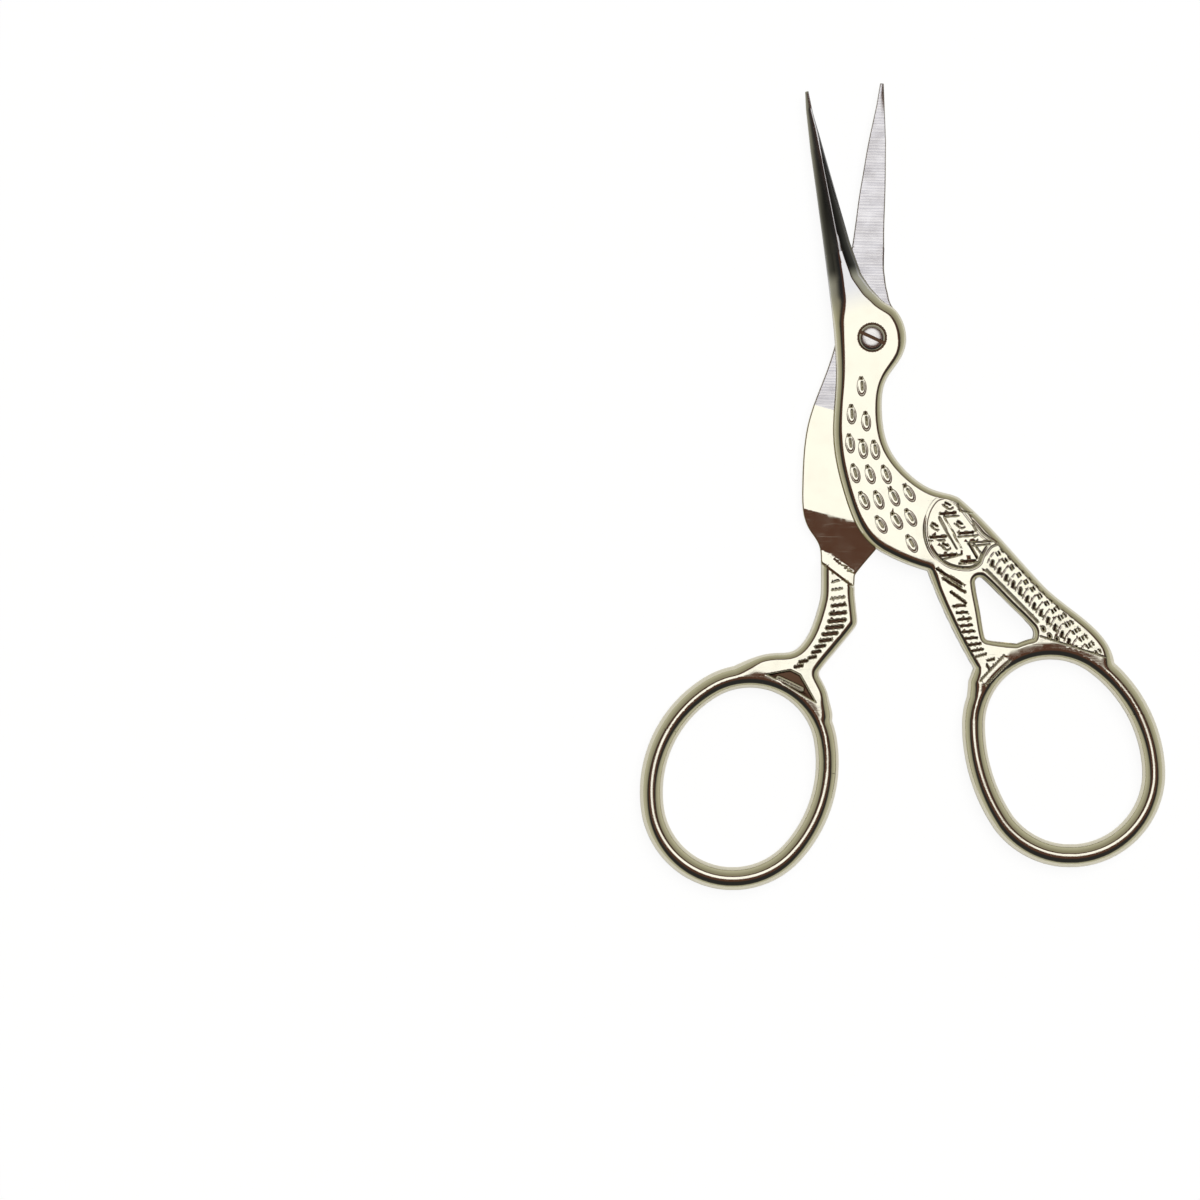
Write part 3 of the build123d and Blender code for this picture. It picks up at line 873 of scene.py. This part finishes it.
def blade_rows(half):
    """Rows of points across the ground blade, denser towards its rounded edges and beside its ridge."""
    ahead, across = along(half.lean), np.array([cos(half.lean), sin(half.lean)])
    way, side = half.outer @ ahead, half.outer @ across
    near = way > BLADE_START - BLADE_OVERLAP
    tip = half.outer[np.argmax(way)]
    shares = 1 - (1 - np.linspace(0, 1, BLADE_ROWS)) ** TIP_GATHERING
    stations = BLADE_START + (way.max() - BLADE_START) * shares
    turns = 1 - np.cos(np.radians(np.linspace(0, 90, BLADE_RIM_POINTS)))
    rows = []
    for station in stations[:-1]:
        ends = []
        for part in (near & half.breast, near & ~half.breast):
            order = np.argsort(way[part])
            ends.append(np.interp(station, way[part][order], side[part][order]))
        width = ends[1] - ends[0]
        pixel = PIVOT_PIXEL[1] - station * cos(half.lean) / MM_PER_PIXEL
        rims = np.array([np.interp(pixel, *BREAST_RIM), np.interp(pixel, *NAPE_RIM)])
        rims *= min(1, RIM_SHARE * width / rims.sum())
        flat = [rims[0] + RIDGE_SUPPORT, width - rims[1] - RIDGE_SUPPORT]
        places = np.concatenate([rims[0] * turns, flat, width - rims[1] * turns[::-1]]) + ends[0]
        rows.append(station * ahead[None] + places[:, None] * across[None])
    return rows, tip


def blade_object(name, half):
    """The ground blade, from the neck to the tip, as stations across it that follow its ridge."""
    rows, tip = blade_rows(half)
    points = np.concatenate(rows + [tip[None]])
    width, tip_number = len(rows[0]), len(points) - 1
    faces = []
    for row in range(len(rows) - 1):
        for corner in range(row * width, row * width + width - 1):
            faces.append([corner, corner + 1, corner + width + 1, corner + width])
    for corner in range((len(rows) - 1) * width, len(rows) * width - 1):
        faces.append([corner, corner + 1, tip_number])
    top = half.top(points)
    bottom = half.bottom(points, top)
    return shell_object(half, name, points, faces, top, bottom, [half.TOP_STEEL] * len(faces))


def curve_object(name, places, dimensions, closed):
    """A curve of straight pieces through places in millimetres."""
    curve = bpy.data.curves.new(name, "CURVE")
    curve.dimensions = dimensions
    spline = curve.splines.new("POLY")
    spline.points.add(len(places) - 1)
    for point, place in zip(spline.points, places):
        point.co = (place[0] * MM, place[1] * MM, place[2] * MM, 1)
    spline.use_cyclic_u = closed
    piece = bpy.data.objects.new(name, curve)
    bpy.context.collection.objects.link(piece)
    return piece


def edit_as_mesh(piece):
    """Turns a curve into a mesh and opens all of it for editing."""
    select_only(piece)
    bpy.ops.object.convert(target="MESH")
    bpy.ops.object.mode_set(mode="EDIT")
    bpy.ops.mesh.select_all(action="SELECT")


def wire_section(name):
    """Round section of the wire, worn flat above and below."""
    radius = WIRE_RADIUS - BOW_EASE
    places = np.pad(circle(WIRE_SIDES) * radius, ((0, 0), (0, 1)))
    places[:, 1] = np.clip(places[:, 1], WORN_TOP - radius, radius - WORN_TOP)
    return curve_object(name, places, "2D", True)


def bow_object(name, half):
    """The lower, plain part of a finger bow, as one wire bent round."""
    line = (half.bow + outwards(half.bow) * WIRE_RADIUS)[::2]
    line = np.clip(line, half.box[0] + WIRE_RADIUS, half.box[1] - WIRE_RADIUS)
    section = wire_section(name + "_section")
    piece = curve_object(name, [(*place, LAP_LEVEL) for place in line], "3D", True)
    piece.data.bevel_mode = "OBJECT"
    piece.data.bevel_object = section
    edit_as_mesh(piece)
    place, down = half.bow_cut
    bpy.ops.mesh.bisect(plane_co=(place[0] * MM, place[1] * MM, 0), plane_no=(down[0], down[1], 0),
                        clear_inner=True, use_fill=True)
    bpy.ops.object.mode_set(mode="OBJECT")
    bpy.data.objects.remove(section)
    return bpy.context.active_object


def screw_object(name):
    """The screw's half profile turned round its axis."""
    edit_as_mesh(curve_object(name, [(radius, 0, height) for radius, height in SCREW_PROFILE], "3D", False))
    bpy.ops.mesh.spin(steps=SCREW_STEPS, angle=2 * pi, center=(0, 0, 0), axis=(0, 0, 1))
    bpy.ops.mesh.select_all(action="SELECT")
    bpy.ops.mesh.remove_doubles(threshold=0.000001)
    bpy.ops.mesh.normals_make_consistent(inside=False)
    bpy.ops.object.mode_set(mode="OBJECT")
    return bpy.context.active_object


def slot_cutter():
    """Bar that cuts the slot of the screw."""
    bpy.ops.mesh.primitive_cube_add(size=1, location=(0, 0, (SCREW_TOP + SLOT_DEPTH) * MM),
                                    rotation=(0, 0, SLOT_ANGLE))
    cutter = bpy.context.active_object
    cutter.scale = (SLOT_LENGTH * MM, SLOT_WIDTH * MM, 4 * SLOT_DEPTH * MM)
    bpy.ops.object.transform_apply(location=True, rotation=True, scale=True)
    return cutter


def select_only(piece):
    bpy.ops.object.select_all(action="DESELECT")
    piece.select_set(True)
    bpy.context.view_layer.objects.active = piece


def finish_piece(piece, body, materials, node=None, smooth=35):
    select_only(piece)
    bpy.ops.object.shade_smooth_by_angle(angle=radians(smooth))
    for material in materials:
        piece.data.materials.append(material)
    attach(piece, body)
    if node:
        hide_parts(node)


# Materials


def add_node(tree, kind, inputs):
    """A new node. Each of its inputs is given as a value or as the socket that leads to it."""
    node = tree.nodes.new(kind)
    for name, value in inputs.items():
        if isinstance(value, bpy.types.NodeSocket):
            tree.links.new(value, node.inputs[name])
        else:
            node.inputs[name].default_value = value
    return node


def maths(tree, operation, *values):
    """Sockets or numbers joined by a sum."""
    node = add_node(tree, "ShaderNodeMath", dict(enumerate(values)))
    node.operation = operation
    return node.outputs["Value"]


def vector_maths(tree, operation, *values):
    node = add_node(tree, "ShaderNodeVectorMath", dict(enumerate(values)))
    node.operation = operation
    return node


def ranged(tree, value, low, high, start=0.0, end=1.0):
    """A value between low and high, spread over start to end."""
    inputs = {"Value": value, "From Min": low, "From Max": high, "To Min": start, "To Max": end}
    return add_node(tree, "ShaderNodeMapRange", inputs).outputs["Result"]


def blended(tree, factor, first, second):
    """One colour over another, each a socket or three numbers."""
    node = tree.nodes.new("ShaderNodeMix")
    node.data_type = "RGBA"
    tree.links.new(factor, node.inputs["Factor"])
    for name, colour in (("A", first), ("B", second)):
        if isinstance(colour, bpy.types.NodeSocket):
            tree.links.new(colour, node.inputs[name])
        else:
            node.inputs[name].default_value = (*colour, 1)
    return node.outputs["Result"]


def noise(tree, place, scale, detail=2.0, mapping=None):
    """Noise at a place, or at the place turned about Z and stretched as the mapping says."""
    if mapping:
        inputs = {"Vector": place, "Rotation": (0, 0, mapping[0]), "Scale": mapping[1]}
        place = add_node(tree, "ShaderNodeMapping", inputs).outputs["Vector"]
    inputs = {"Vector": place, "Scale": scale, "Detail": detail}
    return add_node(tree, "ShaderNodeTexNoise", inputs).outputs["Fac"]


def attribute(tree, name):
    """A number that the mesh keeps for each of its points."""
    node = tree.nodes.new("ShaderNodeAttribute")
    node.attribute_name = name
    return node.outputs["Fac"]


def new_material(name):
    material = bpy.data.materials.new(name)
    material.use_nodes = True
    tree = material.node_tree
    return material, tree, tree.nodes["Principled BSDF"]


def new_metal(name):
    """A metal's material, with its nodes, its shader and the place on the piece."""
    material, tree, shader = new_material(name)
    shader.inputs["Metallic"].default_value = 1.0
    return material, tree, shader, tree.nodes.new("ShaderNodeTexCoord").outputs["Object"]


def fine_wear():
    """Shared effect: how rubbed each place is, and shallow scratches that cross each other."""
    group = bpy.data.node_groups.get("fine_wear")
    if group:
        return group
    group = bpy.data.node_groups.new("fine_wear", "ShaderNodeTree")
    group.interface.new_socket("Vector", in_out="INPUT", socket_type="NodeSocketVector")
    group.interface.new_socket("Rubbed", in_out="OUTPUT", socket_type="NodeSocketFloat")
    group.interface.new_socket("Height", in_out="OUTPUT", socket_type="NodeSocketFloat")
    place = group.nodes.new("NodeGroupInput").outputs["Vector"]
    scratches = []
    for turn in (0.5, 2.3):
        scratches.append(ranged(group, noise(group, place, 1, 2, (turn, (220, 5200, 220))), 0.62, 0.72))
    ends = {"Rubbed": noise(group, place, 420, 5), "Height": maths(group, "MAXIMUM", *scratches)}
    add_node(group, "NodeGroupOutput", ends)
    return group


def facet_shaded(tree, colour):
    """A colour, darkened by painted shade on the facets as far as the mesh says."""
    return blended(tree, attribute(tree, "painted_facet_shade"), colour, FACET_SHADE_COLOUR)


def worn(tree, shader, place, smooth, rough, strength):
    """Joins the shared wear to the roughness and the bump of a metal."""
    wear = tree.nodes.new("ShaderNodeGroup")
    wear.node_tree = fine_wear()
    tree.links.new(place, wear.inputs["Vector"])
    roughness = ranged(tree, wear.outputs["Rubbed"], 0.3, 0.75, smooth, rough)
    tree.links.new(roughness, shader.inputs["Roughness"])
    inputs = {"Strength": strength, "Distance": SCRATCH_DEPTH, "Height": wear.outputs["Height"]}
    bump = add_node(tree, "ShaderNodeBump", inputs)
    bump.invert = True
    tree.links.new(bump.outputs["Normal"], shader.inputs["Normal"])
    return bump


def gold_plating(name="gold_plating", lean=None):
    """Worn plating, dark where it is engraved, with painted shade in the recess round the screw, which fades
    into steel along a blade with this lean and there takes painted shade on its facets.
    """
    material, tree, shader, place = new_metal(name)
    settings = bpy.context.scene.scissors_finish
    colour = tuple(settings.gold)
    if lean is not None:
        reach = vector_maths(tree, "DOT_PRODUCT", place, (*along(lean), 0)).outputs["Value"]
        fade = ranged(tree, reach, FADE_START, FADE_END)
        # Painted shade on the facets, over the plating that fades into steel
        colour = facet_shaded(tree, blended(tree, fade, colour, tuple(settings.steel)))
    # Tarnish in the engraving, and painted shade in the recess round the screw, both carried by the recess
    # number
    dark = ranged(tree, attribute(tree, "recess"), 0.5, 0.88)
    tree.links.new(blended(tree, dark, colour, tuple(settings.tarnish_and_shade)), shader.inputs["Base Color"])
    worn(tree, shader, place, 0.05, 0.14, 0.25)
    return material


def polished_steel():
    """The blades' mirrored faces, with faint stains and painted shade on their facets."""
    material, tree, shader, place = new_metal("polished_steel")
    steel = tuple(bpy.context.scene.scissors_finish.steel)
    faint = tuple(part * 0.88 for part in steel)
    # Faint stains, and painted shade on the facets
    colour = facet_shaded(tree, blended(tree, ranged(tree, noise(tree, place, 160), 0.45, 0.7), steel, faint))
    tree.links.new(colour, shader.inputs["Base Color"])
    worn(tree, shader, place, 0.1, 0.18, 0.2)
    return material


def ground_steel():
    """The flat face of a blade, with the fine lines that the wheel left across it."""
    material, tree, shader, place = new_metal("ground_steel")
    lines = noise(tree, place, 1, 3, (radians(8), (160, 4200, 160)))
    turn = add_node(tree, "ShaderNodeMapping", {"Vector": place, "Rotation": (0, 0, radians(2))})
    inputs = {"Scale": 780, "Distortion": 1.6, "Detail": 2, "Detail Scale": 1.5}
    bands = add_node(tree, "ShaderNodeTexWave", {"Vector": turn.outputs["Vector"], **inputs})
    bands.bands_direction = "Y"
    shade = ranged(tree, maths(tree, "MULTIPLY_ADD", bands.outputs["Fac"], 0.25, lines), 0.45, 0.8)
    tree.links.new(blended(tree, shade, (0.76, 0.75, 0.79), (1.0, 0.985, 1.0)), shader.inputs["Base Color"])
    scratches = worn(tree, shader, place, 0.2, 0.27, 0.2).outputs["Normal"]
    inputs = {"Strength": 0.35, "Distance": SCRATCH_DEPTH, "Height": lines, "Normal": scratches}
    tree.links.new(add_node(tree, "ShaderNodeBump", inputs).outputs["Normal"], shader.inputs["Normal"])
    return material


def turned_steel():
    """The screw's head, with faint rings from the lathe round its own middle and painted shade on its slot's
    floor and under its rim.
    """
    material, tree, shader, place = new_metal("turned_steel")
    flat = vector_maths(tree, "MULTIPLY", place, (1, 1, 0)).outputs["Vector"]
    away = vector_maths(tree, "LENGTH", flat).outputs["Value"]
    rings = tree.nodes.new("ShaderNodeTexNoise")
    rings.noise_dimensions = "1D"
    rings.inputs["Scale"].default_value = 9000
    tree.links.new(away, rings.inputs["W"])
    shade = ranged(tree, rings.outputs["Fac"], 0.3, 0.7)
    metal = blended(tree, shade, (0.74, 0.72, 0.7), (0.93, 0.91, 0.89))
    height = add_node(tree, "ShaderNodeSeparateXYZ", {"Vector": place}).outputs["Z"]
    # Painted shade on the slot's floor and on the rim under the head, by height
    painted_shade = tuple(bpy.context.scene.scissors_finish.tarnish_and_shade)
    colour = blended(tree, ranged(tree, height, *SCREW_SHADE_HEIGHTS), metal, painted_shade)
    tree.links.new(colour, shader.inputs["Base Color"])
    worn(tree, shader, place, 0.14, 0.26, 0.3)
    return material


def table_top():
    """White paper, which shows the camera mostly its own glow, so that shadows on it stay faint."""
    material, tree, shader = new_material("table_top")
    shader.inputs["Base Color"].default_value = (0.86, 0.86, 0.86, 1)
    shader.inputs["Roughness"].default_value = 0.9
    glow = add_node(tree, "ShaderNodeEmission", {"Strength": 1.06}).outputs["Emission"]
    share = maths(tree, "MULTIPLY", tree.nodes.new("ShaderNodeLightPath").outputs["Is Camera Ray"], 0.86)
    mix = add_node(tree, "ShaderNodeMixShader", {"Fac": share, 1: shader.outputs["BSDF"], 2: glow})
    tree.links.new(mix.outputs["Shader"], tree.nodes["Material Output"].inputs["Surface"])
    return material


def room(scene, settings):
    """White straight above, dark round it and furthest down on the near side, plain walls beyond."""
    world = bpy.data.worlds.new("room")
    scene.world = world
    world.use_nodes = True
    tree = world.node_tree
    direction = tree.nodes.new("ShaderNodeTexCoord").outputs["Generated"]

    def along_way(way):
        return vector_maths(tree, "DOT_PRODUCT", direction, way).outputs["Value"]

    def step(value, low, high):
        node = add_node(tree, "ShaderNodeMapRange", {"Value": value, "From Min": low, "From Max": high})
        node.interpolation_type = "SMOOTHSTEP"
        return node.outputs["Result"]

    def grey(level, red=1.0, green=1.0, blue=1.0):
        return (level * red, level * green, level * blue)

    angle = maths(tree, "ARCCOSINE", along_way((0, 0, 1)))
    # The white overhead lies a little towards the far side
    from_white = maths(tree, "ARCCOSINE", along_way((0.02, 0.085, 0.9962)))
    # The dark part reaches furthest down on the near side
    reach = maths(tree, "ADD", along_way((0, -radians(35), 0)), radians(41))
    start = step(from_white, radians(8), radians(11))
    stop = step(maths(tree, "SUBTRACT", angle, reach), radians(-6), radians(6))
    dark = maths(tree, "MULTIPLY", start, maths(tree, "SUBTRACT", 1, stop))
    walls = [grey(settings.wall, 0.62, 0.58, 0.42), grey(settings.wall, 1.1, 1.08, 0.84)]
    wall = blended(tree, step(angle, radians(35), radians(85)), *walls)
    lit = blended(tree, start, grey(settings.daylight), wall)
    glooms = [grey(settings.gloom, 1.8, 0.85, 0.58), grey(settings.gloom * 0.5)]
    gloom = blended(tree, step(angle, radians(16), radians(34)), *glooms)
    seen = tree.nodes.new("ShaderNodeLightPath").outputs["Is Camera Ray"]
    white = blended(tree, seen, blended(tree, dark, lit, gloom), (1, 1, 1))
    tree.links.new(white, tree.nodes["Background"].inputs["Color"])


# Settings


class ScissorsFinish(bpy.types.PropertyGroup):
    gold: FloatVectorProperty(name="Gold", description="Colour of the plating", subtype="COLOR",
                              size=3, min=0, max=1, default=(0.93, 0.895, 0.75))
    steel: FloatVectorProperty(name="Steel", description="Colour of the polished steel", subtype="COLOR",
                               size=3, min=0, max=1, default=(0.72, 0.72, 0.73))
    # Tarnish in the bed of the engraving. The same colour is painted as shade in the recess round the screw,
    # on the screw's slot floor and under its rim
    tarnish_and_shade: FloatVectorProperty(name="Tarnish", description="Colour in the bed of the engraving",
                                 subtype="COLOR", size=3, min=0, max=1, default=(0.09, 0.05, 0.03))


class ScissorsStage(bpy.types.PropertyGroup):
    camera_height: FloatProperty(name="Camera height", description="From the table to the camera",
                                 subtype="DISTANCE", unit="LENGTH", default=0.7)
    daylight: FloatProperty(name="Overhead light", description="Brightness straight above", default=1.12)
    gloom: FloatProperty(name="Dark surround", description="Brightness of the room's dark part",
                         default=0.05)
    wall: FloatProperty(name="Walls", description="Brightness of the walls", default=0.42)


# Operators


class SCISSORS_OT_stage(bpy.types.Operator):
    """Camera straight above the table, the table, the lamp and the room that the metal mirrors"""

    bl_idname = "scissors.stage"
    bl_label = "Stage"

    def execute(self, context):
        settings = context.scene.scissors_stage
        centre = at(*PHOTO_CENTRE_PIXEL) * MM
        width = PHOTO_WIDTH_PIXELS * MM_PER_PIXEL * MM
        far = settings.camera_height
        bpy.ops.object.camera_add(location=(centre[0], centre[1], far), rotation=(0, 0, 0))
        camera = context.active_object
        camera.name = "camera"
        camera.data.lens = camera.data.sensor_width * (far - LAP_LEVEL * MM) / width
        camera.data.clip_start = 0.01
        context.scene.camera = camera
        bpy.ops.mesh.primitive_plane_add(size=4, location=(0, 0, -0.00003))
        table = context.active_object
        table.name = "table"
        table.data.materials.append(table_top())
        lamp_turn = (radians(-18), radians(14), 0)
        bpy.ops.object.light_add(type="SUN", location=(0.2, 0.3, 1), rotation=lamp_turn)
        lamp = context.active_object
        lamp.name = "lamp"
        lamp.data.energy = 1.9
        lamp.data.angle = radians(50)
        lamp.visible_glossy = False
        room(context.scene, settings)
        context.scene.view_settings.view_transform = "Standard"
        return {"FINISHED"}


class SCISSORS_OT_front(bpy.types.Operator):
    """Front half: engraved bird with its leg, tail and bow, and the blade"""

    bl_idname = "scissors.front"
    bl_label = "Front half"

    def execute(self, context):
        half = Front()
        gold, fading = gold_plating(), gold_plating("fading_plating", FRONT_LEAN)
        finish_piece(plate_object("front_body", half), "front", [fading], "front_half", 50)
        finish_piece(bow_object("front_bow", half), "front", [gold], None, 50)
        steel = [polished_steel()]
        finish_piece(blade_object("front_blade", half), "front", steel, None, 50)
        return {"FINISHED"}


class SCISSORS_OT_rear(bpy.types.Operator):
    """Rear half: plate, second leg and bow, and the blade with its ground face"""

    bl_idname = "scissors.rear"
    bl_label = "Rear half"

    def execute(self, context):
        half = Rear()
        gold, ground = gold_plating(), ground_steel()
        plating = [gold, ground]
        finish_piece(plate_object("rear_body", half), "rear", plating, "rear_half", 50)
        finish_piece(bow_object("rear_bow", half), "rear", [gold], None, 50)
        steel = [polished_steel(), ground]
        finish_piece(blade_object("rear_blade", half), "rear", steel, None, 25)
        return {"FINISHED"}


class SCISSORS_OT_screw(bpy.types.Operator):
    """Slotted pivot screw: turned head, shoulder and thread's core"""

    bl_idname = "scissors.screw"
    bl_label = "Pivot screw"

    def execute(self, context):
        screw = screw_object("pivot_screw_turned")
        slot = slot_cutter()
        cut = screw.modifiers.new("slot", "BOOLEAN")
        cut.operation = "DIFFERENCE"
        cut.object = slot
        select_only(screw)
        bpy.ops.object.modifier_apply(modifier=cut.name)
        bpy.data.objects.remove(slot)
        finish_piece(screw, "rear", [turned_steel()], "pivot_screw", 30)
        return {"FINISHED"}


class SCISSORS_PT_panel(bpy.types.Panel):
    bl_idname = "SCISSORS_PT_panel"
    bl_label = "Stork scissors"
    bl_space_type = "VIEW_3D"
    bl_region_type = "UI"
    bl_category = "Scissors"

    def draw(self, context):
        for operator in OPERATORS:
            self.layout.operator(operator.bl_idname)


OPERATORS = [SCISSORS_OT_stage, SCISSORS_OT_front, SCISSORS_OT_rear, SCISSORS_OT_screw]
CLASSES = [ScissorsFinish, ScissorsStage, *OPERATORS, SCISSORS_PT_panel]


def register():
    for item in CLASSES:
        bpy.utils.register_class(item)
    bpy.types.Scene.scissors_finish = PointerProperty(type=ScissorsFinish)
    bpy.types.Scene.scissors_stage = PointerProperty(type=ScissorsStage)


def unregister():
    del bpy.types.Scene.scissors_stage
    del bpy.types.Scene.scissors_finish
    for item in reversed(CLASSES):
        bpy.utils.unregister_class(item)


def main():
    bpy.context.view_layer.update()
    register()
    bpy.ops.scissors.stage()
    bpy.ops.scissors.front()
    bpy.ops.scissors.rear()
    bpy.ops.scissors.screw()


if __name__ == "__main__":
    main()
